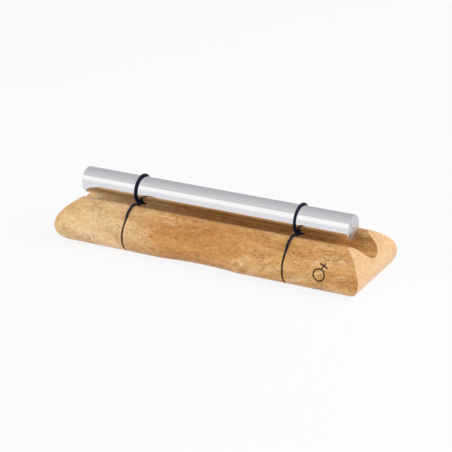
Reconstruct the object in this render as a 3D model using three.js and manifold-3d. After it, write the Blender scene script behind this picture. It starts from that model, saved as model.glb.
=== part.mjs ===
// Chime bar: a solid metal rod slung by two elastic cords over a grooved hardwood block.
// Millimetres, +Z up. X runs along the rod and Y from front to back, and the origin lies
// at the middle of the block's underside.

import * as THREE from "three";
import { mergeVertices } from "three/addons/utils/BufferGeometryUtils.js";
import Module from "manifold-3d";

const wasm = await Module();
wasm.setup();

// Space kept between pieces that touch on the real object.
const clearance = 0.3;
// How far a cutting shape runs past the faces that it cuts.
const overrun = 6;

// Wooden block: a low round-topped moulding, grooved, with rounded ends and its foot rounded
// under on every side.
const blockLength = 199;
const blockWidth = 57;
// Height that the moulding would have if no groove took its crown away.
const mouldingRise = 30.8;
const footRadius = 11.7;
// Depth of the groove's floor below that crown, and the room that it leaves round the rod.
const grooveDepth = 12.8;
const grooveRoom = 2.8;
const lipRadius = 5;
// Above the rounded foot each end leans in along a quarter ellipse, which would top out a
// little above the lips.
const endLeanLength = 31;
const endTopRise = 3.8;

// Finger scoop, the same on both long sides: a wide shallow hollow round an upright axis,
// leaning with the side above and rounded under with the foot.
const scoopRadius = 130;
const scoopDepth = 2.1;
const scoopTopDrop = 6.3;
const scoopOffset = -4;

// Saw kerfs that carry the cords round the front, the underside and the back.
const kerfSpacing = 105;
const kerfTopDrop = 6.5;
// Space between the cord and the table.
const kerfBaseRoom = 0.3;

// Metal rod.
const barDiameter = 16;
const barLength = 176;
// Height of the rod's axis above the lips.
const barRise = 5.9;
const barOffset = -4;
const barChamfer = 0.5;
const centreMarkRadius = 0.9;
const centreMarkDepth = 0.6;

// Elastic cord, its wrap round the rod and the knot that closes it.
const cordDiameter = 2;
// Places of the wrap along the rod, from its kerf, at each fifth of a turn.
const wrapPlaces = [-0.6, -2.6, -2.1, -0.9, 1.1, 2.1, 0.9];
const wrapTurnShare = 1 / 5;
const knotDiameter = 3.8;
const knotLength = 4.4;
const knotPlaceOnBar = -1;
const knotAngle = THREE.MathUtils.degToRad(48);
// Rounded ends of the knot, as shares of its radius and of half its length.
const knotProfileShares = [[0, -1], [0.7, -0.9], [1, -0.5], [1, 0.5], [0.7, 0.9], [0, 1]];
const tailDiameter = 1.8;
const tailLength = 4.8;
const tailDrift = 0.5;

const cordRadius = cordDiameter / 2;
const barRadius = barDiameter / 2;
const knotRadius = knotDiameter / 2;
const kerfWidth = cordDiameter + 2 * clearance;
const cordLift = clearance + cordRadius;
const kerfDepth = cordDiameter + clearance + kerfBaseRoom;
const knotRadialPlace = barRadius + clearance + knotRadius;

// Circle of the round top, which runs smoothly into the round of the foot.
const footCentreWidth = blockWidth / 2 - footRadius;
const footToCrown = footCentreWidth ** 2 + (mouldingRise - footRadius) ** 2 - footRadius ** 2;
const domeRadius = footToCrown / (2 * (mouldingRise - 2 * footRadius));
const domeCentreHeight = mouldingRise - domeRadius;
const footAngle = Math.atan2(footRadius - domeCentreHeight, footCentreWidth);
const grooveRadius = barRadius + grooveRoom;
const grooveCentreHeight = mouldingRise - grooveDepth + grooveRadius;
const scoopTopHeight = mouldingRise - scoopTopDrop;
const kerfTopHeight = mouldingRise - kerfTopDrop;

// Centre of the small round lip that joins the dome to the groove wall.
const lipToDome = domeRadius - lipRadius;
const lipToGroove = grooveRadius + lipRadius;
const domeToGroove = grooveCentreHeight - domeCentreHeight;
const lipRise = (lipToDome ** 2 - lipToGroove ** 2 + domeToGroove ** 2) / (2 * domeToGroove);
const lipCentre = new THREE.Vector2(Math.sqrt(lipToDome ** 2 - lipRise ** 2), domeCentreHeight + lipRise);
const crestHeight = lipCentre.y + lipRadius;
const endLeanHeight = crestHeight + endTopRise - footRadius;
const barAxisHeight = crestHeight + barRise;
const crestAngle = Math.atan2(lipRise, lipCentre.x);
const wallAngle = Math.atan2(grooveCentreHeight - lipCentre.y, -lipCentre.x);

function domeWidthAt(height) {
  return Math.sqrt(domeRadius ** 2 - (height - domeCentreHeight) ** 2);
}

function arcPoints(centreX, centreY, radius, from, to, steps) {
  const points = [];
  for (let i = 0; i <= steps; i += 1) {
    const angle = from + ((to - from) * i) / steps;
    points.push(new THREE.Vector2(centreX + radius * Math.cos(angle), centreY + radius * Math.sin(angle)));
  }
  return points;
}

function mirrored(points) {
  return points.map((point) => new THREE.Vector2(-point.x, point.y)).reverse();
}

// Turns a shape drawn as (Y, Z) and extruded to +Z into one that runs along X.
const alongX = new THREE.Matrix4().set(0, 0, 1, 0, 1, 0, 0, 0, 0, 1, 0, 0, 0, 0, 0, 1);

function extrude(points, depth) {
  return new THREE.ExtrudeGeometry(new THREE.Shape(points), { depth, bevelEnabled: false });
}

function toSolid(geometry) {
  const bare = geometry.clone();
  bare.deleteAttribute("normal");
  bare.deleteAttribute("uv");
  const merged = mergeVertices(bare);
  const vertProperties = new Float32Array(merged.attributes.position.array);
  const triVerts = new Uint32Array(merged.index.array);
  return new wasm.Manifold(new wasm.Mesh({ numProp: 3, vertProperties, triVerts }));
}

function toGeometry(body) {
  const result = body.getMesh();
  const geometry = new THREE.BufferGeometry();
  geometry.setAttribute("position", new THREE.BufferAttribute(result.vertProperties, 3));
  geometry.setIndex(new THREE.BufferAttribute(result.triVerts, 1));
  geometry.computeVertexNormals();
  return geometry;
}

// Moulding with its groove: one half of the section is drawn and mirrored.
function mouldingSolid() {
  const half = [
    ...arcPoints(footCentreWidth, footRadius, footRadius, -Math.PI / 2, footAngle, 10),
    ...arcPoints(0, domeCentreHeight, domeRadius, footAngle, crestAngle, 11).slice(1),
    ...arcPoints(lipCentre.x, lipCentre.y, lipRadius, crestAngle, wallAngle, 6).slice(1),
    ...arcPoints(0, grooveCentreHeight, grooveRadius, wallAngle - Math.PI, -Math.PI / 2, 9).slice(1),
  ];
  const section = [...half, ...mirrored(half).slice(1)];
  const bar = extrude(section, blockLength).translate(0, 0, -blockLength / 2);
  return toSolid(bar.applyMatrix4(alongX));
}

// Side view of the block: the round of the foot and the quarter ellipse that leans in.
function endProfileSolid() {
  const halfLength = blockLength / 2;
  const half = arcPoints(halfLength - footRadius, footRadius, footRadius, -Math.PI / 2, 0, 7);
  const steps = 12;
  for (let i = 1; i <= steps; i += 1) {
    const angle = ((Math.PI / 2) * i) / steps;
    const x = halfLength - endLeanLength * (1 - Math.cos(angle));
    half.push(new THREE.Vector2(x, footRadius + endLeanHeight * Math.sin(angle)));
  }
  const profile = extrude([...half, ...mirrored(half)], blockWidth + 2 * overrun);
  return toSolid(profile.rotateX(Math.PI / 2).translate(0, blockWidth / 2 + overrun, 0));
}

// Cutter for the scoop in the front side: a drum that stands before the block, flared out at
// the foot with the round of the block and leaning in above it.
function scoopSolid() {
  const reach = blockWidth / 2 - scoopDepth + scoopRadius;
  const lean = (reach - scoopRadius - domeWidthAt(scoopTopHeight)) / (scoopTopHeight - footRadius);
  const top = scoopTopHeight + overrun;
  const round = arcPoints(scoopRadius + footRadius, footRadius, footRadius, -Math.PI / 2, -Math.PI, 6);
  const profile = [
    new THREE.Vector2(0, -overrun),
    new THREE.Vector2(scoopRadius + footRadius, -overrun),
    ...round,
    new THREE.Vector2(scoopRadius + lean * (top - footRadius), top),
    new THREE.Vector2(0, top),
  ];
  const drum = new THREE.LatheGeometry(profile, 240).rotateX(Math.PI / 2);
  return toSolid(drum.translate(0, -reach, 0));
}

// The kerf's floor leaves the dome in a straight line, goes round the foot and along the
// underside. This is the slope of that line, and the turn at which the round takes it over.
const kerfTop = new THREE.Vector2(domeWidthAt(kerfTopHeight), kerfTopHeight);
const kerfFloorRadius = footRadius - kerfDepth;
const footToKerfTop = new THREE.Vector2(kerfTop.x - footCentreWidth, kerfTop.y - footRadius);
const kerfLean = footToKerfTop.angle() - Math.acos(kerfFloorRadius / footToKerfTop.length());

function kerfSolid() {
  const outside = blockWidth / 2 + overrun;
  const half = [
    new THREE.Vector2(outside, -overrun),
    new THREE.Vector2(outside, kerfTop.y),
    kerfTop.clone(),
    ...arcPoints(footCentreWidth, footRadius, kerfFloorRadius, kerfLean, -Math.PI / 2, 8),
  ];
  const cutter = extrude([...half, ...mirrored(half)], kerfWidth).translate(0, 0, -kerfWidth / 2);
  return toSolid(cutter.applyMatrix4(alongX));
}

function woodenBlock() {
  let body = mouldingSolid().intersect(endProfileSolid());
  const scoop = scoopSolid();
  body = body.subtract(scoop.translate(scoopOffset, 0, 0));
  body = body.subtract(scoop.rotate(0, 0, 180).translate(scoopOffset, 0, 0));
  for (const side of [-1, 1]) {
    body = body.subtract(kerfSolid().translate((side * kerfSpacing) / 2, 0, 0));
  }
  return toGeometry(body);
}

// Rod: faced on a lathe, with a broken edge and a small centre mark in each end.
function chimeBar() {
  const end = barLength / 2;
  const half = [
    new THREE.Vector2(0, centreMarkDepth - end),
    new THREE.Vector2(centreMarkRadius, -end),
    new THREE.Vector2(barRadius - barChamfer, -end),
    new THREE.Vector2(barRadius, barChamfer - end),
  ];
  const profile = [...half, ...half.map((point) => new THREE.Vector2(point.x, -point.y)).reverse()];
  return new THREE.LatheGeometry(profile, 64).rotateZ(-Math.PI / 2);
}

// A cord is a round section of eight sides drawn along its route.
function cordGeometry(route, diameter, steps) {
  const section = new THREE.Shape(arcPoints(0, 0, diameter / 2, 0, 2 * Math.PI, 8).slice(1));
  const extrudePath = new THREE.CatmullRomCurve3(route, false, "centripetal");
  return new THREE.ExtrudeGeometry(section, { steps, extrudePath, bevelEnabled: false });
}

// Angles round the rod are counted from its front, down and under it.
function roundBar(angle, radius, x) {
  return new THREE.Vector3(x, -radius * Math.cos(angle), barAxisHeight - radius * Math.sin(angle));
}

// The back strand leaves the lip and meets the wrap along the line that touches both.
const wrapRadius = barRadius + cordLift;
const lipWrapRadius = lipRadius + cordLift;
const lipToBar = new THREE.Vector2(-lipCentre.x, barAxisHeight - lipCentre.y);
const lipToBarAngle = Math.atan2(lipToBar.y, lipToBar.x);
const wrapStart = lipToBarAngle - Math.acos((wrapRadius + lipWrapRadius) / lipToBar.length());
const backStrandTop = new THREE.Vector2(
  lipCentre.x + lipWrapRadius * Math.cos(wrapStart),
  lipCentre.y + lipWrapRadius * Math.sin(wrapStart),
);

// The front strand leaves the lip on the line that runs straight to the knot.
const knotPlace = new THREE.Vector2(
  -knotRadialPlace * Math.cos(knotAngle),
  barAxisHeight - knotRadialPlace * Math.sin(knotAngle),
);
const lipToKnot = new THREE.Vector2(knotPlace.x + lipCentre.x, knotPlace.y - lipCentre.y);
const lipToKnotAngle = Math.atan2(lipToKnot.y, lipToKnot.x);
const frontStrandAngle = lipToKnotAngle + Math.acos(lipWrapRadius / lipToKnot.length());
const frontStrandTop = new THREE.Vector2(
  -lipCentre.x + lipWrapRadius * Math.cos(frontStrandAngle),
  lipCentre.y + lipWrapRadius * Math.sin(frontStrandAngle),
);

// The wrap comes in under the rod from the back, goes up the front, over the top and down
// the back, and ends in the knot beside its own start.
const wrapPlan = new THREE.SplineCurve(wrapPlaces.map((place, index) => new THREE.Vector2(index, place)));
const fullTurn = 2 * Math.PI;
const wrapEnd = knotAngle - fullTurn;

function wrapPoint(angle, kerfX) {
  const turn = (wrapStart - angle) / fullTurn;
  const place = wrapPlan.getPoint(Math.min(1, turn / wrapTurnShare / (wrapPlaces.length - 1))).y;
  const lift = Math.max(0, 1 - (angle - wrapEnd) / (fullTurn / 8)) ** 2;
  return roundBar(angle, wrapRadius + (knotRadialPlace - wrapRadius) * lift, kerfX + place);
}

// Least gap between one pass of a wrap and the next, measured on its route.
function leastWrapGap(kerfX) {
  const samples = [];
  const count = 400;
  for (let i = 0; i <= count; i += 1) {
    const angle = wrapStart + ((wrapEnd - wrapStart) * i) / count;
    samples.push({ angle, point: wrapPoint(angle, kerfX) });
  }
  let least = Infinity;
  for (const one of samples) {
    for (const other of samples) {
      if (one.angle - other.angle > Math.PI) {
        least = Math.min(least, one.point.distanceTo(other.point) - cordDiameter);
      }
    }
  }
  return least;
}

function knotCentre(kerfX) {
  return new THREE.Vector3(kerfX + knotPlaceOnBar, knotPlace.x, knotPlace.y);
}

// Wrap of one cord round the rod, with the knot drawn tight under the front of the rod and
// its trimmed tail. All of it is the same cord, so it is one body.
function barLoop(kerfX) {
  const steps = 36;
  const route = [];
  const start = wrapStart - clearance / 2 / wrapRadius;
  for (let i = 0; i <= steps; i += 1) {
    route.push(wrapPoint(start + ((wrapEnd - start) * i) / steps, kerfX));
  }
  const wrap = toSolid(cordGeometry(route, cordDiameter, 56));
  const profile = knotProfileShares.map(
    ([outShare, alongShare]) => new THREE.Vector2(knotRadius * outShare, (knotLength / 2) * alongShare),
  );
  const centre = knotCentre(kerfX);
  const knot = toSolid(new THREE.LatheGeometry(profile, 16).rotateZ(-Math.PI / 2));
  const tip = centre.clone().add(new THREE.Vector3(tailLength, -tailDrift, tailDrift));
  const tail = toSolid(cordGeometry([centre, centre.clone().lerp(tip, 1 / 2), tip], tailDiameter, 3));
  return toGeometry(wrap.add(knot.translate(centre.x, centre.y, centre.z)).add(tail));
}

function strandBetween(from, to, gapAtStart, gapAtEnd) {
  const along = to.clone().sub(from).normalize();
  const start = from.clone().addScaledVector(along, gapAtStart);
  const end = to.clone().addScaledVector(along, -gapAtEnd);
  return cordGeometry([start, start.clone().lerp(end, 1 / 2), end], cordDiameter, 3);
}

function frontStrand(kerfX) {
  const top = new THREE.Vector3(kerfX, frontStrandTop.x, frontStrandTop.y);
  return strandBetween(top, knotCentre(kerfX), clearance / 2, knotRadius + clearance);
}

function backStrand(kerfX) {
  const top = new THREE.Vector3(kerfX, backStrandTop.x, backStrandTop.y);
  return strandBetween(top, wrapPoint(wrapStart, kerfX), clearance / 2, clearance / 2);
}

// Rest of the cord, held by the block: over the lip, down the dome into the kerf, round the
// foot and under the block. Points run from the lip to the middle of the underside.
function bandHalf(leaveAngle) {
  const trim = clearance / 2 / lipWrapRadius;
  const kerfAngle = Math.atan2(kerfTopHeight - domeCentreHeight, kerfTop.x);
  return [
    ...arcPoints(lipCentre.x, lipCentre.y, lipWrapRadius, leaveAngle - trim, crestAngle, 5),
    ...arcPoints(0, domeCentreHeight, domeRadius + cordLift, crestAngle, kerfAngle, 4).slice(1),
    ...arcPoints(kerfTop.x, kerfTop.y, cordLift, kerfAngle, kerfLean, 2).slice(1),
    ...arcPoints(footCentreWidth, footRadius, kerfFloorRadius + cordLift, kerfLean, -Math.PI / 2, 8),
    new THREE.Vector2(footCentreWidth / 2, kerfDepth - cordLift),
  ];
}

function kerfBand(kerfX) {
  const front = mirrored(bandHalf(Math.PI - frontStrandAngle)).reverse();
  const back = bandHalf(wrapStart).reverse();
  const route = [...front, new THREE.Vector2(0, kerfDepth - cordLift), ...back];
  return cordGeometry(route.map((point) => new THREE.Vector3(kerfX, point.x, point.y)), cordDiameter, 84);
}

const wood = { color: 0xc99a62, roughness: 0.45, metalness: 0 };
const metal = { color: 0xd9d8dc, roughness: 0.28, metalness: 1 };
const elastic = { color: 0x161b22, roughness: 0.75, metalness: 0 };

const group = new THREE.Group();

function addPiece(name, geometry, finish, x = 0, y = 0, z = 0) {
  const piece = new THREE.Mesh(geometry, new THREE.MeshStandardMaterial(finish));
  piece.name = name;
  piece.position.set(x, y, z);
  group.add(piece);
}

addPiece("wooden_block", woodenBlock(), wood);
addPiece("chime_rod", chimeBar(), metal, barOffset, 0, barAxisHeight);
for (const [name, side] of [["left", -1], ["right", 1]]) {
  const kerfX = (side * kerfSpacing) / 2;
  addPiece(`${name}_rod_loop`, barLoop(kerfX), elastic);
  addPiece(`${name}_front_strand`, frontStrand(kerfX), elastic);
  addPiece(`${name}_back_strand`, backStrand(kerfX), elastic);
  addPiece(`${name}_kerf_band`, kerfBand(kerfX), elastic);
}

console.log(`least gap between the wraps of a loop: ${leastWrapGap(kerfSpacing / 2).toFixed(2)} mm`);
console.log(`crest of the block: ${crestHeight.toFixed(2)} mm`);

export default group;
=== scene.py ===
import math

import bpy
from mathutils import Matrix, Vector


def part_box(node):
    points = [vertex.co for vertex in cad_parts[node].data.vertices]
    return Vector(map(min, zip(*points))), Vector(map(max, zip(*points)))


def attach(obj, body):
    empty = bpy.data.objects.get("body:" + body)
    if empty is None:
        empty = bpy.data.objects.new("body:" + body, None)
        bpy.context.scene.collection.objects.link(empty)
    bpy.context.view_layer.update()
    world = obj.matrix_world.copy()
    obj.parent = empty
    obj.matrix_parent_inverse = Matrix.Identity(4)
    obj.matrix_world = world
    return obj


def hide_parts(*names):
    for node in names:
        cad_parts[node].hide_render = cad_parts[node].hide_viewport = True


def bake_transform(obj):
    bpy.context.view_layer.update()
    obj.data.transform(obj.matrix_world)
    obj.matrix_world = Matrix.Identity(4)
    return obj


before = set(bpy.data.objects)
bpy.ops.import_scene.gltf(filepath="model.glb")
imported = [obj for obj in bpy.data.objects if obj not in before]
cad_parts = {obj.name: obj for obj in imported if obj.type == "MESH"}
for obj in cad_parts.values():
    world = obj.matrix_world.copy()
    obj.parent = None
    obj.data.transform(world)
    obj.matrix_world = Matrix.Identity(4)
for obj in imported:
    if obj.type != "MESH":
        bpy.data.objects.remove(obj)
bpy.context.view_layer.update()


# Wooden block: one length of hardwood moulding with a round top, a foot rounded under on all
# sides and a groove along its crown. A finger scoop is sanded into each long side, and two
# saw kerfs carry the cords. The blank is drawn, run out to length and then cut.
mm = 0.001
block_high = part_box("wooden_block")[1]
rod_low, rod_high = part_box("chime_rod")
rod_centre = (rod_low + rod_high) / 2
rod_radius = (rod_high.z - rod_low.z) / 2

block_half_length = block_high.x
block_half_width = block_high.y
crown_height = 30.8 * mm
foot_radius = 11.7 * mm
groove_depth = 12.8 * mm
groove_room = 2.8 * mm
lip_radius = 5 * mm
end_lean = 31 * mm
end_top = block_high.z + 3.8 * mm
scoop_radius = 130 * mm
scoop_depth = 2.1 * mm
scoop_top = crown_height - 6.3 * mm
scoop_place = -4 * mm
kerf_top = crown_height - 6.5 * mm
kerf_depth = 2.6 * mm
kerf_width = 1.3 * mm
overrun = 6 * mm
foot_steps = 56
dome_steps = 36
lip_steps = 32
groove_steps = 36

groove_radius = rod_radius + groove_room
groove_centre = crown_height - groove_depth + groove_radius
foot_y = block_half_width - foot_radius
dome_radius = (foot_y ** 2 + (crown_height - foot_radius) ** 2 - foot_radius ** 2) / (
    2 * (crown_height - 2 * foot_radius)
)
dome_centre = crown_height - dome_radius
foot_angle = math.atan2(foot_radius - dome_centre, foot_y)
lip_rise = (
    (dome_radius - lip_radius) ** 2
    - (groove_radius + lip_radius) ** 2
    + (groove_centre - dome_centre) ** 2
) / (2 * (groove_centre - dome_centre))
lip_y = math.sqrt((dome_radius - lip_radius) ** 2 - lip_rise ** 2)
lip_z = dome_centre + lip_rise
crest_angle = math.atan2(lip_rise, lip_y)
wall_angle = math.atan2(groove_centre - lip_z, -lip_y)


def dome_y(height):
    """Half width of the dome at a height."""
    return math.sqrt(dome_radius ** 2 - (height - dome_centre) ** 2)


def work_on(piece):
    """Makes one piece the only selected and active one."""
    if bpy.context.object and bpy.context.object.mode != "OBJECT":
        bpy.ops.object.mode_set(mode="OBJECT")
    bpy.ops.object.select_all(action="DESELECT")
    piece.select_set(True)
    bpy.context.view_layer.objects.active = piece


def pick(piece, kind, test):
    """Leaves a piece in edit mode with the vertices, edges or faces selected that pass a test."""
    work_on(piece)
    bpy.ops.object.mode_set(mode="EDIT")
    bpy.ops.mesh.select_mode(type=kind)
    bpy.ops.mesh.select_all(action="DESELECT")
    bpy.ops.object.mode_set(mode="OBJECT")
    parts = {"VERT": piece.data.vertices, "EDGE": piece.data.edges, "FACE": piece.data.polygons}
    for part in parts[kind]:
        part.select = test(part)
    bpy.ops.object.mode_set(mode="EDIT")


def settle(piece, name):
    """Applies a piece's place, so that its object sits at the origin, and names it."""
    work_on(piece)
    bpy.ops.object.transform_apply(location=True, rotation=True, scale=True)
    piece.name = name
    piece.data.name = name
    return piece


def apply_modifier(piece, kind, **settings):
    """Gives a piece one modifier and applies it."""
    work_on(piece)
    modifier = piece.modifiers.new(kind.lower(), kind)
    for key, value in settings.items():
        setattr(modifier, key, value)
    bpy.ops.object.modifier_apply(modifier=modifier.name)


def combine(piece, tool, operation):
    """Cuts, joins or trims a piece by a tool body, which is used up."""
    apply_modifier(
        piece, "BOOLEAN", operation=operation, solver="EXACT", material_mode="TRANSFER", object=tool
    )
    bpy.data.objects.remove(tool)


def start_line(x, y, z):
    """Begins an outline as a single vertex of a new mesh, left selected in edit mode."""
    bpy.ops.object.select_all(action="DESELECT")
    bpy.ops.mesh.primitive_plane_add(size=mm, location=(x, y, z))
    bpy.ops.object.mode_set(mode="EDIT")
    bpy.ops.mesh.select_mode(type="VERT")
    bpy.ops.mesh.merge(type="CENTER")
    piece = bpy.context.object
    bpy.ops.object.mode_set(mode="OBJECT")
    settle(piece, "outline")
    pick(piece, "VERT", lambda vertex: True)
    return piece


def draw(x, y, z):
    """Draws a straight line on from the selected vertex, by a step along each axis."""
    bpy.ops.mesh.extrude_region_move(TRANSFORM_OT_translate={"value": (x, y, z)})


def sweep(centre, axis, angle, steps):
    """Carries what is selected round an axis, and leaves an arc behind it."""
    bpy.ops.mesh.spin(steps=steps, angle=-angle, center=centre, axis=axis)


def close_outline(piece, across, run):
    """Mirrors a half outline over one axis, fills it and runs it out along another."""
    bpy.ops.object.mode_set(mode="OBJECT")
    apply_modifier(
        piece, "MIRROR", use_axis=[axis == across for axis in "XYZ"], merge_threshold=mm / 1000
    )
    pick(piece, "VERT", lambda vertex: True)
    bpy.ops.mesh.edge_face_add()
    draw(*run)
    bpy.ops.mesh.select_all(action="SELECT")
    bpy.ops.mesh.normals_make_consistent(inside=False)
    bpy.ops.object.mode_set(mode="OBJECT")


# The section is drawn as a chain of arcs, from the middle of the base over the foot and the
# dome to the groove.
block = start_line(-block_half_length, 0, 0)
draw(0, foot_y, 0)
x_axis = (1, 0, 0)
sweep((0, foot_y, foot_radius), x_axis, math.pi / 2 + foot_angle, foot_steps)
sweep((0, 0, dome_centre), x_axis, crest_angle - foot_angle, dome_steps)
sweep((0, lip_y, lip_z), x_axis, wall_angle - crest_angle, lip_steps)
sweep((0, 0, groove_centre), x_axis, math.pi / 2 - wall_angle, groove_steps)
close_outline(block, "Y", (2 * block_half_length, 0, 0))
settle(block, "hardwood_block")


def make_material(name):
    """A new material, its node tree and its surface shader."""
    material = bpy.data.materials.new(name)
    material.use_nodes = True
    return material, material.node_tree, material.node_tree.nodes["Principled BSDF"]


def node(tree, kind, **settings):
    """A new node of a tree, with its settings."""
    made = tree.nodes.new(kind)
    for key, value in settings.items():
        setattr(made, key, value)
    return made


def joined(tree, made, *inputs):
    """Feeds a node's inputs in turn, each from a socket or a fixed value."""
    for socket, value in zip(made.inputs, inputs):
        if isinstance(value, bpy.types.NodeSocket):
            tree.links.new(value, socket)
        elif value is not None:
            socket.default_value = value
    return made.outputs[0]


def worked_out(tree, operation, *inputs):
    """The result of a sum on numbers."""
    return joined(tree, node(tree, "ShaderNodeMath", operation=operation), *inputs)


def vectors_worked_out(tree, operation, *inputs):
    """The result of a sum on vectors."""
    return joined(tree, node(tree, "ShaderNodeVectorMath", operation=operation), *inputs)


def clamped(tree, value):
    """A number held between 0 and 1."""
    return worked_out(tree, "MINIMUM", worked_out(tree, "MAXIMUM", value, 0.0), 1.0)


def object_place(tree):
    """The place on the object, in metres."""
    return node(tree, "ShaderNodeTexCoord").outputs["Object"]


def split(tree, source):
    """The three shares of a vector."""
    parts = node(tree, "ShaderNodeSeparateXYZ")
    tree.links.new(source, parts.inputs["Vector"])
    return parts.outputs


def noise(tree, source, scale, detail=3, roughness=0.5, distortion=0, output="Fac"):
    """Noise with so many waves a metre along each axis."""
    made = node(tree, "ShaderNodeTexNoise")
    made.inputs["Scale"].default_value = 1
    made.inputs["Detail"].default_value = detail
    made.inputs["Roughness"].default_value = roughness
    made.inputs["Distortion"].default_value = distortion
    tree.links.new(vectors_worked_out(tree, "MULTIPLY", source, scale), made.inputs["Vector"])
    return made.outputs[output]


def ramp(tree, source, *stops):
    """A colour ramp of (place, colour or grey level) stops."""
    made = node(tree, "ShaderNodeValToRGB")
    steps = made.color_ramp.elements
    while len(steps) < len(stops):
        steps.new(0.5)
    for step, (place, value) in zip(steps, stops):
        step.position = place
        step.color = (*value, 1) if isinstance(value, tuple) else (value, value, value, 1)
    tree.links.new(source, made.inputs["Fac"])
    return made.outputs["Color"]


def mixed(tree, share, one, other, blend="MIX"):
    """Mixes two colours, each a socket or a fixed colour."""
    made = node(tree, "ShaderNodeMix", data_type="RGBA", blend_type=blend)
    for socket, value in zip((made.inputs[0], made.inputs[6], made.inputs[7]), (share, one, other)):
        if isinstance(value, bpy.types.NodeSocket):
            tree.links.new(value, socket)
        else:
            socket.default_value = value
    return made.outputs[2]


def screen(red, green, blue):
    """A colour given in screen values, 0 to 255, as Blender's linear colour."""
    shares = (value / 255 for value in (red, green, blue))
    return tuple(
        share / 12.92 if share <= 0.04045 else ((share + 0.055) / 1.055) ** 2.4 for share in shares
    )


# The grain's fall and swing towards the left end, the reach of its waves, the figure's slant
# and strength, where along the block the wood starts to pale and over what run, and its pores.
# That paling is partly the wood's own paler tone and partly a painted sheen.
grain_fall = -2.6
grain_swing = -0.5
wave_reach = 5.5 * mm
curl_angle = math.radians(42)
figure_share = 0.42
pale_and_sheen_from = -27.5 * mm
pale_and_sheen_over = 25 * mm
fibre_shade = (0.82, 0.73, 0.62)
fine_pore_share = 0.7
pore_edge = 0.1
pore_depth = 0.1 * mm


def grain_place(tree):
    """Object coordinates with the grain's slant towards the left end and its waves taken out."""
    place = object_place(tree)
    left = worked_out(tree, "MINIMUM", split(tree, place)["X"], 0.0)
    slant = worked_out(tree, "MULTIPLY", worked_out(tree, "MULTIPLY", left, left), grain_fall)
    drop = node(tree, "ShaderNodeCombineXYZ")
    joined(tree, drop, 0.0, worked_out(tree, "MULTIPLY", slant, grain_swing), slant)
    waves = noise(tree, place, (30, 60, 60), detail=2, output="Color")
    waves = vectors_worked_out(tree, "MULTIPLY", waves, (0.0, wave_reach, wave_reach))
    slanted = vectors_worked_out(tree, "ADD", place, drop.outputs["Vector"])
    return vectors_worked_out(tree, "ADD", slanted, waves)


def pores(tree, grain, scale, reach, crowd):
    """Short dark vessels along the grain, as a mask of 0 to 1 that thins out with their crowding."""
    cell = node(tree, "ShaderNodeTexVoronoi", feature="F1")
    cell.inputs["Scale"].default_value = 1
    tree.links.new(vectors_worked_out(tree, "MULTIPLY", grain, scale), cell.inputs["Vector"])
    room = worked_out(tree, "MULTIPLY", crowd, 2 * reach)
    inside = worked_out(tree, "SUBTRACT", room, cell.outputs["Distance"])
    return clamped(tree, worked_out(tree, "DIVIDE", inside, pore_edge))


def figured_colour(tree, grain, bands, dark, middle, light, pale):
    """Soft bands, a curled figure, paler patches, and a paler left end, partly a painted sheen."""
    colour = ramp(tree, bands, (0.32, dark), (0.5, middle), (0.68, light))
    figure = noise(tree, grain, (150, 330, 400), detail=4, roughness=0.65, distortion=1.6)
    figure = ramp(tree, figure, (0.36, dark), (0.64, light))
    colour = mixed(tree, figure_share, colour, figure)
    turned = node(tree, "ShaderNodeMapping")
    turned.inputs["Rotation"].default_value = (0, curl_angle, 0)
    tree.links.new(grain, turned.inputs["Vector"])
    turned = turned.outputs["Vector"]
    curl = noise(tree, turned, (70, 260, 330), detail=4, roughness=0.6, distortion=1.0)
    patch = ramp(tree, noise(tree, grain, (22, 55, 70), detail=2), (0.47, 0.0), (0.6, 1.0))
    curl = worked_out(tree, "MULTIPLY", ramp(tree, curl, (0.5, 0.0), (0.62, 0.6)), patch)
    colour = mixed(tree, curl, colour, (*pale, 1))
    # Painted sheen: the colour pales towards the left end, where the upper faces catch a soft light,
    # mixed with the wood's own paler tone there.
    leftward = worked_out(tree, "MULTIPLY", split(tree, grain)["X"], -1 / pale_and_sheen_over)
    pale_and_sheen_side = clamped(tree, worked_out(tree, "ADD", leftward, pale_and_sheen_from / pale_and_sheen_over))
    pale_and_sheen_bands = ramp(tree, noise(tree, grain, (9, 50, 50), detail=2), (0.36, 0.35), (0.58, 0.95))
    pale_and_sheen_share = worked_out(tree, "MULTIPLY", pale_and_sheen_side, pale_and_sheen_bands)
    return mixed(tree, pale_and_sheen_share, colour, (*pale, 1))


def wood_material(name, dark, middle, light, pale, pore_colour, pore_share):
    """Hardwood under satin lacquer: figured wood with fine fibre and short dark pores."""
    material, tree, shader = make_material(name)
    grain = grain_place(tree)
    bands = noise(tree, grain, (10, 95, 95), detail=5, roughness=0.6, distortion=0.5)
    colour = figured_colour(tree, grain, bands, dark, middle, light, pale)
    fibre = noise(tree, grain, (200, 850, 850), detail=5, roughness=0.65)
    fibre = ramp(tree, fibre, (0.36, fibre_shade), (0.62, 1.0))
    colour = mixed(tree, 1.0, colour, fibre, "MULTIPLY")
    crowd = noise(tree, grain, (60, 170, 170), detail=2)
    coarse = pores(tree, grain, (330, 2300, 2300), 0.28, crowd)
    fine = pores(tree, grain, (600, 3400, 3400), 0.27, crowd)
    fine = worked_out(tree, "MULTIPLY", fine, fine_pore_share)
    depth = worked_out(tree, "MAXIMUM", coarse, fine)
    darkened = worked_out(tree, "MULTIPLY", depth, pore_share)
    colour = mixed(tree, darkened, colour, (*pore_colour, 1))
    tree.links.new(colour, shader.inputs["Base Color"])
    tree.links.new(ramp(tree, bands, (0.3, 0.42), (0.7, 0.34)), shader.inputs["Roughness"])
    bump = node(tree, "ShaderNodeBump", invert=True)
    bump.inputs["Strength"].default_value = 0.4
    bump.inputs["Distance"].default_value = pore_depth
    tree.links.new(depth, bump.inputs["Height"])
    tree.links.new(bump.outputs["Normal"], shader.inputs["Normal"])
    return material


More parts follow.
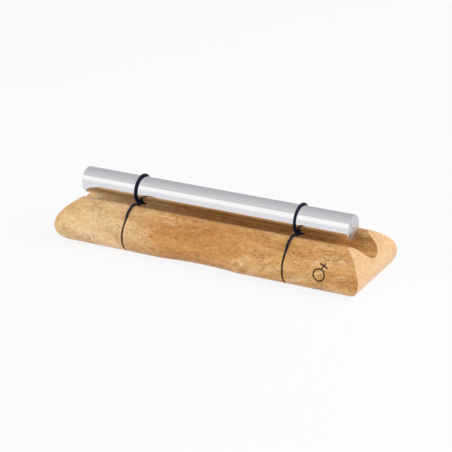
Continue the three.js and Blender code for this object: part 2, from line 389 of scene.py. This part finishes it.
side_wood = wood_material(
    "golden_hardwood",
    dark=screen(193, 130, 62),
    middle=screen(220, 164, 92),
    light=screen(242, 197, 128),
    # This pale colour serves the curled figure and the paler left end, which is partly a painted
    # sheen.
    pale=screen(254, 223, 175),
    pore_colour=screen(118, 64, 30),
    pore_share=0.85,
)
scoop_wood = wood_material(
    "sanded_hardwood",
    dark=screen(188, 126, 58),
    middle=screen(214, 156, 82),
    light=screen(234, 183, 112),
    pale=screen(234, 183, 112),
    pore_colour=screen(104, 56, 22),
    pore_share=0.85,
)
end_wood = wood_material(
    "end_grain",
    dark=screen(222, 178, 128),
    middle=screen(233, 194, 146),
    light=screen(243, 208, 164),
    pale=screen(243, 208, 164),
    pore_colour=screen(150, 100, 58),
    pore_share=0.5,
)
block.data.materials.append(side_wood)

# The ends are trimmed to the side form: the round of the foot, then a quarter ellipse.
end_foot_steps = 32
end_lean_steps = 60
form_y = -block_half_width - overrun
form_x = block_half_length - foot_radius
lean_x = block_half_length - end_lean
end_form = start_line(0, form_y, -overrun)
draw(form_x, 0, 0)
draw(0, 0, overrun)
sweep((form_x, form_y, foot_radius), (0, -1, 0), math.pi / 2, end_foot_steps)
sweep((lean_x, form_y, foot_radius), (0, -1, 0), math.pi / 2, end_lean_steps)
draw(-lean_x, 0, 0)
pick(end_form, "VERT", lambda vertex: vertex.co.z > foot_radius + mm / 100)
bpy.ops.transform.resize(
    value=(1, 1, (end_top - foot_radius) / end_lean), center_override=(0, 0, foot_radius)
)
close_outline(end_form, "X", (0, -2 * form_y, 0))
end_form.data.materials.append(end_wood)
combine(block, end_form, "INTERSECT")

# Finger scoops: a drum before each long side, flared at the foot as the block is rounded, and
# leaning in above.
flare_steps = 28
drum_steps = 480
scoop_reach = block_half_width - scoop_depth + scoop_radius
scoop_rise = scoop_top + overrun - foot_radius
scoop_slope = (scoop_reach - scoop_radius - dome_y(scoop_top)) / (scoop_top - foot_radius)
for side in (-1, 1):
    drum = start_line(scoop_place, side * scoop_reach, -overrun)
    flare_y = side * (scoop_reach - scoop_radius - foot_radius)
    draw(0, -side * (scoop_radius + foot_radius), 0)
    draw(0, 0, overrun)
    sweep((scoop_place, flare_y, foot_radius), (side, 0, 0), math.pi / 2, flare_steps)
    draw(0, -side * scoop_slope * scoop_rise, scoop_rise)
    draw(0, side * (scoop_radius + scoop_slope * scoop_rise), 0)
    bpy.ops.mesh.select_all(action="SELECT")
    sweep((scoop_place, side * scoop_reach, 0), (0, 0, 1), 2 * math.pi, drum_steps)
    bpy.ops.mesh.select_all(action="SELECT")
    bpy.ops.mesh.remove_doubles(threshold=mm / 1000)
    bpy.ops.mesh.normals_make_consistent(inside=False)
    bpy.ops.object.mode_set(mode="OBJECT")
    drum.data.materials.append(scoop_wood)
    combine(block, drum, "DIFFERENCE")

# Saw kerfs: each runs out on the dome, goes round the feet and along the underside.
kerf_steps = 28
kerf_boxes = [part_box("left_kerf_band"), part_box("right_kerf_band")]
kerf_places = [(low.x + high.x) / 2 for low, high in kerf_boxes]
kerf_floor_radius = foot_radius - kerf_depth
kerf_reach = Vector((dome_y(kerf_top) - foot_y, kerf_top - foot_radius))
kerf_lean = math.atan2(kerf_reach.y, kerf_reach.x)
kerf_lean -= math.acos(kerf_floor_radius / kerf_reach.length)
kerf_turn_y = foot_y + kerf_floor_radius * math.cos(kerf_lean)
kerf_turn_z = foot_radius + kerf_floor_radius * math.sin(kerf_lean)
outside_y = block_half_width + overrun
for place in kerf_places:
    edge_x = place - kerf_width / 2
    saw = start_line(edge_x, 0, -overrun)
    draw(0, outside_y, 0)
    draw(0, 0, overrun + kerf_top)
    draw(0, dome_y(kerf_top) - outside_y, 0)
    draw(0, kerf_turn_y - dome_y(kerf_top), kerf_turn_z - kerf_top)
    sweep((edge_x, foot_y, foot_radius), x_axis, -kerf_lean - math.pi / 2, kerf_steps)
    draw(0, -foot_y, 0)
    close_outline(saw, "Y", (kerf_width, 0, 0))
    saw.data.materials.append(side_wood)
    combine(block, saw, "DIFFERENCE")

# A common sign, a ring with a small cross, is burnt a little way in near the right end. Its
# tool is the sign drawn as a deep prism square to the face, less the section drawn again
# a little smaller.
sign_x = 75.5 * mm
sign_tilt = math.radians(66)
sign_drop = 3.07 * mm
sign_ring_radius = 3.4 * mm
sign_stroke = 0.95 * mm
sign_depth = 0.3 * mm
sign_stem = ((1.15 * mm, 3.0 * mm), (2.95 * mm, 7.3 * mm))
sign_bar = ((-0.5 * mm, 6.55 * mm), (4.7 * mm, 4.55 * mm))
sign_sides = 96
# The tool's parts differ in depth, so that no two of their ends lie in one plane.
ring_depth = 8 * mm
bore_depth = 9 * mm
stem_depth = 7 * mm
bar_depth = 6 * mm
below_length = 20 * mm


def burnt_wood():
    """Wood scorched dark brown, mottled darker and lighter in fine specks."""
    material, tree, shader = make_material("burnt_wood")
    soot = noise(tree, object_place(tree), (900, 1800, 1800), detail=3)
    colour = ramp(tree, soot, (0.35, screen(54, 28, 16)), (0.7, screen(96, 56, 34)))
    tree.links.new(colour, shader.inputs["Base Color"])
    shader.inputs["Roughness"].default_value = 0.7
    return material


sign_up = Vector((0, math.cos(sign_tilt), math.sin(sign_tilt)))
sign_out = Vector((0, -math.sin(sign_tilt), math.cos(sign_tilt)))
sign_middle = Vector((sign_x, -foot_y, foot_radius))
sign_middle += sign_out * foot_radius - sign_up * sign_drop
sign_turn = Matrix.Rotation(sign_tilt, 3, "X")
char = burnt_wood()
wood_below = start_line(sign_x - below_length / 2, 0, sign_depth)
draw(0, foot_y, 0)
sweep((0, foot_y, foot_radius), x_axis, math.pi / 2 + foot_angle, foot_steps)
sweep((0, 0, dome_centre), x_axis, crest_angle - foot_angle, dome_steps)
draw(0, (sign_depth - dome_radius) * math.cos(crest_angle), 0)
close_outline(wood_below, "Y", (below_length, 0, 0))
settle(wood_below, "wood_below")
wood_below.data.materials.append(char)


def ring_disc(radius, depth):
    """A disc square to the face, at the middle of the sign's ring."""
    bpy.ops.object.select_all(action="DESELECT")
    bpy.ops.mesh.primitive_cylinder_add(
        vertices=sign_sides,
        radius=radius,
        depth=depth,
        location=sign_middle,
        rotation=(sign_tilt, 0, 0),
    )
    return settle(bpy.context.object, "sign")


sign = ring_disc(sign_ring_radius + sign_stroke / 2, ring_depth)
combine(sign, ring_disc(sign_ring_radius - sign_stroke / 2, bore_depth), "DIFFERENCE")
for (begin, end), depth in ((sign_stem, stem_depth), (sign_bar, bar_depth)):
    run = Vector(end) - Vector(begin)
    middle = (Vector(begin) + Vector(end)) / 2
    bpy.ops.object.select_all(action="DESELECT")
    bpy.ops.mesh.primitive_cube_add(
        size=1,
        location=sign_middle + Vector((middle.x, 0, 0)) + sign_up * middle.y,
        rotation=(sign_turn @ Matrix.Rotation(math.atan2(run.y, run.x), 3, "Z")).to_euler(),
        scale=(run.length, sign_stroke, depth),
    )
    stroke = settle(bpy.context.object, "stroke")
    combine(sign, stroke, "UNION")
sign.data.materials.clear()
sign.data.materials.append(char)
combine(sign, wood_below, "DIFFERENCE")
combine(block, sign, "DIFFERENCE")

# Every arc shades smooth, and the creases of the ends, scoops and kerfs stay crisp.
block_crease = math.radians(7)
work_on(block)
bpy.ops.object.shade_smooth_by_angle(angle=block_crease)
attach(block, "base")
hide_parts("wooden_block")


# Metal rod: a length of bright drawn bar, faced and chamfered on a lathe, with the small
# mark of the lathe's centre left in each end. It hangs in the two cord loops.
rod_half_length = (rod_high.x - rod_low.x) / 2
rod_chamfer = 0.5 * mm
mark_radius = 0.9 * mm
mark_depth = 0.6 * mm
mark_slope = 0.8 * mark_radius
tool_pitch = 0.45 * mm
face_tolerance = 0.025 * mm
rod_sides = 160
rod_crease = math.radians(25)
bpy.ops.object.select_all(action="DESELECT")
bpy.ops.mesh.primitive_cylinder_add(
    vertices=rod_sides,
    radius=rod_radius,
    depth=2 * rod_half_length,
    rotation=(0, math.pi / 2, 0),
    location=rod_centre,
)
rod = bpy.context.object
settle(rod, "bright_rod")
pick(rod, "FACE", lambda face: abs(face.normal.x) > 0.9)
bpy.ops.mesh.bevel(offset=rod_chamfer, segments=3, affect="EDGES")
for side in (-1, 1):
    pick(rod, "FACE", lambda face: face.normal.x * side > 0.999)
    bpy.ops.mesh.inset(thickness=rod_radius - rod_chamfer - mark_radius)
    bpy.ops.mesh.inset(thickness=mark_slope, depth=-mark_depth)
bpy.ops.object.mode_set(mode="OBJECT")


def bright_metal():
    """Bright drawn metal with faint streaks along the rod."""
    material, tree, shader = make_material("bright_metal")
    shader.inputs["Metallic"].default_value = 1
    shader.inputs["Base Color"].default_value = (0.83, 0.825, 0.835, 1)
    streaks = noise(tree, object_place(tree), (14, 2600, 2600), detail=3)
    tree.links.new(ramp(tree, streaks, (0.3, 0.05), (0.7, 0.09)), shader.inputs["Roughness"])
    return material


def faced_metal():
    """Metal faced on a lathe: fine rings round the rod's axis, with a painted reflection in bluish
    dark patches and painted shade in the centre mark.
    """
    material, tree, shader = make_material("faced_metal")
    shader.inputs["Metallic"].default_value = 1
    place = object_place(tree)
    shares = split(tree, place)
    up = worked_out(tree, "SUBTRACT", shares["Z"], rod_centre.z)
    up = worked_out(tree, "POWER", up, 2.0)
    across = worked_out(tree, "POWER", shares["Y"], 2.0)
    out = worked_out(tree, "POWER", worked_out(tree, "ADD", up, across), 0.5)
    rings = worked_out(tree, "MULTIPLY", out, 2 * math.pi / tool_pitch)
    rings = worked_out(tree, "SINE", rings)
    # Painted reflection: bluish dark patches in the metal's colour stand for the dark, bluish
    # reflections on the faced end.
    painted_reflection_patches = noise(tree, place, (260, 260, 200), detail=4, roughness=0.6)
    colour = ramp(tree, painted_reflection_patches, (0.38, (0.44, 0.44, 0.52)), (0.5, (0.80, 0.79, 0.80)))
    # Painted shade: the colour darkens in the hollow of the centre mark, with a slightly brighter
    # ring round it.
    out = worked_out(tree, "DIVIDE", out, rod_radius)
    centre_mark_shade = ramp(tree, out, (0.06, 0.4), (0.11, 1.0), (0.2, 1.0), (0.28, 0.9))
    colour = mixed(tree, 1.0, colour, centre_mark_shade, "MULTIPLY")
    tree.links.new(colour, shader.inputs["Base Color"])
    shader.inputs["Roughness"].default_value = 0.34
    bump = node(tree, "ShaderNodeBump")
    bump.inputs["Strength"].default_value = 0.25
    bump.inputs["Distance"].default_value = 0.02 * mm
    tree.links.new(rings, bump.inputs["Height"])
    tree.links.new(bump.outputs["Normal"], shader.inputs["Normal"])
    return material


rod.data.materials.append(bright_metal())
rod.data.materials.append(faced_metal())
for face in rod.data.polygons:
    from_end = rod_half_length - abs(face.center.x - rod_centre.x)
    from_axis = math.hypot(face.center.y, face.center.z - rod_centre.z)
    faced = from_end < mark_depth + face_tolerance and from_axis < rod_radius - rod_chamfer
    face.material_index = 1 if faced else 0
work_on(rod)
bpy.ops.object.shade_smooth_by_angle(angle=rod_crease)
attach(rod, "rod")
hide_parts("chime_rod")


# Elastic cords: thin braided elastic, one length on each side. Each lies in its kerf round
# the block, comes up over both lips, goes once round the rod and is knotted under its front.
cord_radius = 0.73 * mm
sunk_radius = 0.52 * mm
sunk_depth = 0.95 * mm
shoulder_lift = 0.55 * mm
cord_step = 0.25 * mm
cord_sides = 20
cord_crease = math.radians(60)
braid_pitch = 1.8 * mm
braid_relief = 0.05
braid_strands = 4
sink_start = kerf_top - 1 * mm
sink_height = 9 * mm
strand_steps = 24
wrap_steps = 240
knot_angle = math.radians(48)
knot_lift = 1.6 * mm
knot_width = 1.4 * mm
knot_turns = 1.8
knot_steps = 96
knot_cord_radius = 0.58 * mm
tuck_from = 0.8
tuck_share = 0.5
tail_steps = 30
tail_start = Vector((-0.8, 0, 0)) * mm
tail_end = Vector((3.2, -0.5, 0.5)) * mm
tail_taper = 0.6
tail_taper_steps = 6
tighten_steps = 20
settle_rounds = 8
rod_z = rod_centre.z
# The wrap's places beside its kerf, in millimetres, a fifth of a turn apart.
wrap_places = [-1.0, -1.9, -1.7, -1.3, -0.6, 0.2, 0.0]
wrap_turn = 2 * math.pi / 5


def arc(centre_y, centre_z, radius, start, end):
    """Points of a round stretch in a cord's plane."""
    steps = max(2, int(abs(end - start) * radius / cord_step))
    angles = [start + (end - start) * i / steps for i in range(steps + 1)]
    return [(centre_y + radius * math.cos(a), centre_z + radius * math.sin(a)) for a in angles]


def straight(start, end):
    """Points of a straight stretch in a cord's plane."""
    steps = max(2, int(math.dist(start, end) / cord_step))
    shares = [i / steps for i in range(steps + 1)]
    return [tuple(a + (b - a) * share for a, b in zip(start, end)) for share in shares]


def wrap_place(turned):
    """How far beside its kerf the wrap lies once it has turned so far round the rod."""
    share = min(max(turned / wrap_turn, 0), len(wrap_places) - 1.001)
    i = int(share)
    t = share - i
    row = [wrap_places[0]] + wrap_places + [wrap_places[-1]]
    a, b, c, d = row[i:i + 4]
    eased = b + 0.5 * t * (c - a + t * (2 * a - 5 * b + 4 * c - d + t * (3 * (b - c) + d - a)))
    return eased * mm


def band_half(leave_angle):
    """Route from a lip down into the kerf, round the foot and under the block, on the back side."""
    start = math.atan2(kerf_top - dome_centre, dome_y(kerf_top))
    points = arc(lip_y, lip_z, lip_radius + cord_radius, leave_angle, crest_angle)
    shoulder = arc(0, dome_centre, dome_radius + cord_radius, crest_angle, start)
    for i, (y, z) in enumerate(shoulder[1:]):
        lift = 1 + shoulder_lift / dome_radius * (i / len(shoulder)) ** 1.5
        points.append((y * lift, dome_centre + (z - dome_centre) * lift))
    low = arc(foot_y, foot_radius, foot_radius - sunk_depth, kerf_lean, -math.pi / 2)
    points += straight(points[-1], low[0])[1:] + low[1:] + straight(low[-1], (0, sunk_depth))[1:]
    return points


def relaxed(points, rounds):
    """Eases the kinks out of a route, with its ends held."""
    for _ in range(rounds):
        neighbours = zip(points, points[1:], points[2:])
        inner = [(before + point * 2 + after) / 4 for before, point, after in neighbours]
        points = [points[0]] + inner + [points[-1]]
    return points


def cord_route(kerf_x):
    """One cord's route, where its front strand, band, back strand and loop end, and its tail."""
    lip_lift = lip_radius + cord_radius
    wrap_radius = rod_radius + cord_radius
    reach = Vector((-lip_y, rod_z - lip_z))
    tangent = math.atan2(reach.y, reach.x) - math.acos((wrap_radius + lip_lift) / reach.length)
    knot_radial = rod_radius + knot_lift
    knot_y = -knot_radial * math.cos(knot_angle)
    knot_z = rod_z - knot_radial * math.sin(knot_angle)
    to_knot = Vector((knot_y + lip_y, knot_z - lip_z))
    front = math.atan2(to_knot.y, to_knot.x) + math.acos(lip_lift / to_knot.length)
    front_half = [(-y, z) for y, z in band_half(math.pi - front)]
    back_half = band_half(tangent)[::-1][1:]
    band = [Vector((kerf_x, y, z)) for y, z in front_half + back_half]
    knot = Vector((kerf_x + wrap_places[0] * mm, knot_y, knot_z))
    front_strand = [knot.lerp(band[0], i / strand_steps) for i in range(strand_steps + 1)]

    def on_rod(angle):
        y = -wrap_radius * math.cos(angle)
        z = rod_z - wrap_radius * math.sin(angle)
        return Vector((kerf_x + wrap_place(tangent - angle), y, z))

    wrapped = knot_angle - 2 * math.pi - tangent
    loop = [on_rod(tangent + wrapped * i / wrap_steps) for i in range(wrap_steps + 1)]
    back_strand = [band[-1].lerp(loop[0], i / strand_steps) for i in range(strand_steps + 1)]
    # The loop ends in nearly two close turns of knot, wound away from the rod and tucked in.
    coil = knot_radial - wrap_radius
    start_x = loop[-1].x
    for i in range(1, knot_steps + 1):
        share = i / knot_steps
        angle = knot_angle + 2 * math.pi * knot_turns * share
        tuck = 1 - tuck_share * max(0, share - tuck_from) / (1 - tuck_from)
        y = knot.y + coil * tuck * math.cos(angle)
        z = knot.z + coil * tuck * math.sin(angle)
        loop.append(Vector((start_x - knot_width * share, y, z)))
    whole = front_strand + band[1:] + back_strand[1:] + loop[1:]
    cuts = [0]
    for stretch in (front_strand, band, back_strand, loop):
        cuts.append(cuts[-1] + len(stretch) - 1)
    tail_shares = [i / tail_steps for i in range(tail_steps + 1)]
    tail = [(knot + tail_start).lerp(knot + tail_end, share) for share in tail_shares]
    return relaxed(whole, settle_rounds), cuts, tail


def lengths_along(points):
    """The length run through at each point of a route."""
    travelled = [0.0]
    for one, other in zip(points, points[1:]):
        travelled.append(travelled[-1] + (other - one).length)
    return travelled


def cord_radii(points, cuts):
    """The cord's radius along its route: squeezed in the kerf, and drawn tight in the knot."""
    radii = []
    for i, point in enumerate(points):
        in_kerf = cuts[1] < i < cuts[2]
        share = min(max((sink_start - point.z) / sink_height, 0), 1) if in_kerf else 0
        squeezed = (sunk_radius - cord_radius) * share * share * (3 - 2 * share)
        tightened = min(max((i - cuts[3] - wrap_steps + tighten_steps) / tighten_steps, 0), 1)
        radii.append(cord_radius + squeezed + (knot_cord_radius - cord_radius) * tightened)
    return radii


def tube(name, points, first, last, travelled, radii):
    """A stretch of braided cord as a closed mesh, with its length and turn kept as its UV map."""
    tangents = []
    for i, point in enumerate(points):
        before = points[max(0, i - 1)]
        after = points[min(len(points) - 1, i + 1)]
        tangents.append((after - before).normalized())
    normal = Vector((1, 0, 0))
    vertices = []
    faces = []
    rows = []
    for i, point in enumerate(points):
        along = tangents[i]
        normal = (normal - along * normal.dot(along)).normalized()
        side = along.cross(normal)
        if i < first or i > last:
            continue
        row = []
        for j in range(cord_sides):
            turn = 2 * math.pi * j / cord_sides
            wave = 2 * math.pi * travelled[i] / braid_pitch
            strand_turn = braid_strands * turn
            relief = max(math.cos(strand_turn + wave), math.cos(strand_turn - wave))
            radius = radii[i] * (1 + braid_relief * (relief - 1))
            row.append(len(vertices))
            vertices.append(point + (normal * math.cos(turn) + side * math.sin(turn)) * radius)
        rows.append(row)
    for row, following in zip(rows, rows[1:]):
        for j in range(cord_sides):
            k = (j + 1) % cord_sides
            faces.append((row[j], row[k], following[k], following[j]))
    faces.append(tuple(reversed(rows[0])))
    faces.append(tuple(rows[-1]))
    mesh = bpy.data.meshes.new(name)
    mesh.from_pydata([tuple(vertex) for vertex in vertices], [], faces)
    layer = mesh.uv_layers.new(name="along_cord")
    for face in mesh.polygons:
        for corner in face.loop_indices:
            index = mesh.loops[corner].vertex_index
            row, turn = divmod(index, cord_sides)
            layer.data[corner].uv = (travelled[first + row] / mm, turn / cord_sides)
    piece = bpy.data.objects.new(name, mesh)
    bpy.context.scene.collection.objects.link(piece)
    work_on(piece)
    bpy.ops.object.mode_set(mode="EDIT")
    bpy.ops.mesh.select_all(action="SELECT")
    bpy.ops.mesh.normals_make_consistent(inside=False)
    bpy.ops.object.mode_set(mode="OBJECT")
    bpy.ops.object.shade_smooth_by_angle(angle=cord_crease)
    return piece


def cord_material():
    """Black elastic with a blue cast."""
    material, tree, shader = make_material("braided_elastic")
    shader.inputs["Roughness"].default_value = 0.6
    shader.inputs["Specular IOR Level"].default_value = 0.2
    shader.inputs["Sheen Weight"].default_value = 0.03
    shader.inputs["Sheen Tint"].default_value = (0.35, 0.45, 0.8, 1)
    fleck = noise(tree, object_place(tree), (1500, 1500, 1500), detail=2)
    colour = ramp(tree, fleck, (0.35, screen(8, 13, 26)), (0.7, screen(24, 34, 58)))
    tree.links.new(colour, shader.inputs["Base Color"])
    return material


elastic = cord_material()
for side, kerf_x in zip(("left", "right"), kerf_places):
    points, cuts, tail = cord_route(kerf_x)
    travelled = lengths_along(points)
    radii = cord_radii(points, cuts)
    strand = tube(side + "_front_cord", points, cuts[0], cuts[1], travelled, radii)
    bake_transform(strand)
    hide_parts(side + "_front_strand")
    band = tube(side + "_band_cord", points, cuts[1], cuts[2], travelled, radii)
    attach(band, "base")
    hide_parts(side + "_kerf_band")
    back = tube(side + "_back_cord", points, cuts[2], cuts[3], travelled, radii)
    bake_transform(back)
    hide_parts(side + "_back_strand")
    tail_radii = []
    for i in range(tail_steps + 1):
        tapered = tail_taper * max(0, i - tail_steps + tail_taper_steps) / tail_taper_steps
        tail_radii.append(knot_cord_radius * (1 - tapered))
    end = tube(side + "_tail", tail, 0, tail_steps, lengths_along(tail), tail_radii)
    loop = tube(side + "_loop_cord", points, cuts[3], cuts[4], travelled, radii)
    end.select_set(True)
    bpy.ops.object.join()
    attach(loop, "sling")
    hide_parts(side + "_rod_loop")
    for piece in (strand, band, back, loop):
        piece.data.materials.append(elastic)


# Camera: a long lens at the place that the photograph was taken from, above the front and to
# the right, turned a little about its own axis.
view_azimuth = 0.479511
view_elevation = 0.387651
view_roll = -0.003461
view_place = Vector((466.668, -893.185, 430.372)) * mm
focal_pixels = 1842.96
frame_pixels = 452
film_width = 36
nearest_seen = 50 * mm
camera_data = bpy.data.cameras.new("camera")
camera = bpy.data.objects.new("camera", camera_data)
bpy.context.scene.collection.objects.link(camera)
camera_data.sensor_width = film_width
camera_data.lens = film_width * focal_pixels / frame_pixels
camera_data.clip_start = nearest_seen
back_axis = Vector((
    math.sin(view_azimuth) * math.cos(view_elevation),
    -math.cos(view_azimuth) * math.cos(view_elevation),
    math.sin(view_elevation),
))
right_axis = Vector((math.cos(view_azimuth), math.sin(view_azimuth), 0))
up_axis = back_axis.cross(right_axis)
rolled_right = right_axis * math.cos(view_roll) + up_axis * math.sin(view_roll)
rolled_up = up_axis * math.cos(view_roll) - right_axis * math.sin(view_roll)
camera.matrix_world = Matrix.Translation(view_place) @ Matrix(
    (rolled_right, rolled_up, back_axis)
).transposed().to_4x4()
bpy.context.scene.camera = camera


# Studio floor: a pale sheet, seen as nearly white with the object's shadow on it. The metal
# mirrors it as a pale sheet too.
floor_size = 40
floor_seen = 0.88
floor_mirrored = 0.85


def floor_material():
    """Pale floor, shown white with its shadow kept, and mirrored by the metal as a pale sheet."""
    material, tree, shader = make_material("pale_floor")
    shader.inputs["Base Color"].default_value = (0.88, 0.88, 0.88, 1)
    shader.inputs["Roughness"].default_value = 0.9
    rays = node(tree, "ShaderNodeLightPath").outputs
    surface = shader.outputs["BSDF"]
    for ray, glow, strength in (
        (rays["Is Camera Ray"], (1, 1, 1, 1), floor_seen),
        (rays["Is Glossy Ray"], (0.90, 0.895, 0.93, 1), floor_mirrored),
    ):
        sheet = joined(tree, node(tree, "ShaderNodeEmission"), glow)
        share = worked_out(tree, "MULTIPLY", ray, strength)
        surface = joined(tree, node(tree, "ShaderNodeMixShader"), share, surface, sheet)
    tree.links.new(surface, tree.nodes["Material Output"].inputs["Surface"])
    return material


bpy.ops.object.select_all(action="DESELECT")
bpy.ops.mesh.primitive_plane_add(size=floor_size, location=(0, 0, 0))
floor = bpy.context.object
floor.name = "floor"
floor.data.materials.append(floor_material())


# Soft lamps: one beyond the right end, one behind, and two in front, low and high. The metal
# doesn't mirror them, because what it mirrors is drawn in the surroundings.
def softbox(name, place, width, height, power):
    """A soft lamp, turned to the chime and not mirrored in it."""
    data = bpy.data.lights.new(name, "AREA")
    data.shape = "RECTANGLE"
    data.size = width
    data.size_y = height
    data.energy = power
    lamp = bpy.data.objects.new(name, data)
    bpy.context.scene.collection.objects.link(lamp)
    lamp.location = place
    lamp.rotation_euler = (-Vector(place)).to_track_quat("-Z", "Y").to_euler()
    lamp.visible_glossy = False


softbox("right", (1.25, -0.05, 0.5), 0.8, 0.8, 9.3)
softbox("back", (0.9, 0.7, 0.9), 0.8, 0.8, 10)
softbox("low_front", (-0.8, -1.1, 0.22), 0.9, 0.3, 9.1)
softbox("high_front", (-0.3, -0.45, 1.25), 0.8, 0.5, 4.0)


# Surroundings: a faint even light, and what the metal mirrors of a studio. Round the rod's
# axis that is white in front, with the dark edge of a sheet above it, and grey overhead.
surround_strength = 1.15
surround_light = (0.155, 0.155, 0.16, 1)
sheet_edge = (0.46, 0.45, 0.46)


def studio_world():
    """The surroundings, which differ for what is lit, what is mirrored and what is seen."""
    world = bpy.data.worlds.new("studio")
    bpy.context.scene.world = world
    world.use_nodes = True
    tree = world.node_tree
    direction = split(tree, node(tree, "ShaderNodeTexCoord").outputs["Generated"])
    forward = worked_out(tree, "MULTIPLY", direction["Y"], -1.0)
    angle = worked_out(tree, "ARCTAN2", direction["Z"], forward)
    mirrored = ramp(
        tree,
        worked_out(tree, "DIVIDE", angle, math.pi),
        (0.0, 0.76),
        (0.05, 0.83),
        (0.11, 0.97),
        (0.18, 1.0),
        (0.24, 0.95),
        (0.292, 0.88),
        (0.298, sheet_edge),
        (0.312, sheet_edge),
        (0.322, (0.68, 0.65, 0.67)),
        (0.40, (0.64, 0.62, 0.64)),
        (0.52, (0.565, 0.55, 0.57)),
        (0.70, (0.50, 0.485, 0.51)),
        (0.90, (0.45, 0.44, 0.47)),
    )
    rays = node(tree, "ShaderNodeLightPath").outputs
    lit = mixed(tree, rays["Is Glossy Ray"], surround_light, mirrored)
    seen = mixed(tree, rays["Is Camera Ray"], lit, (1, 1, 1, 1))
    joined(tree, tree.nodes["Background"], seen, surround_strength)


studio_world()
bpy.context.scene.view_settings.view_transform = "Standard"
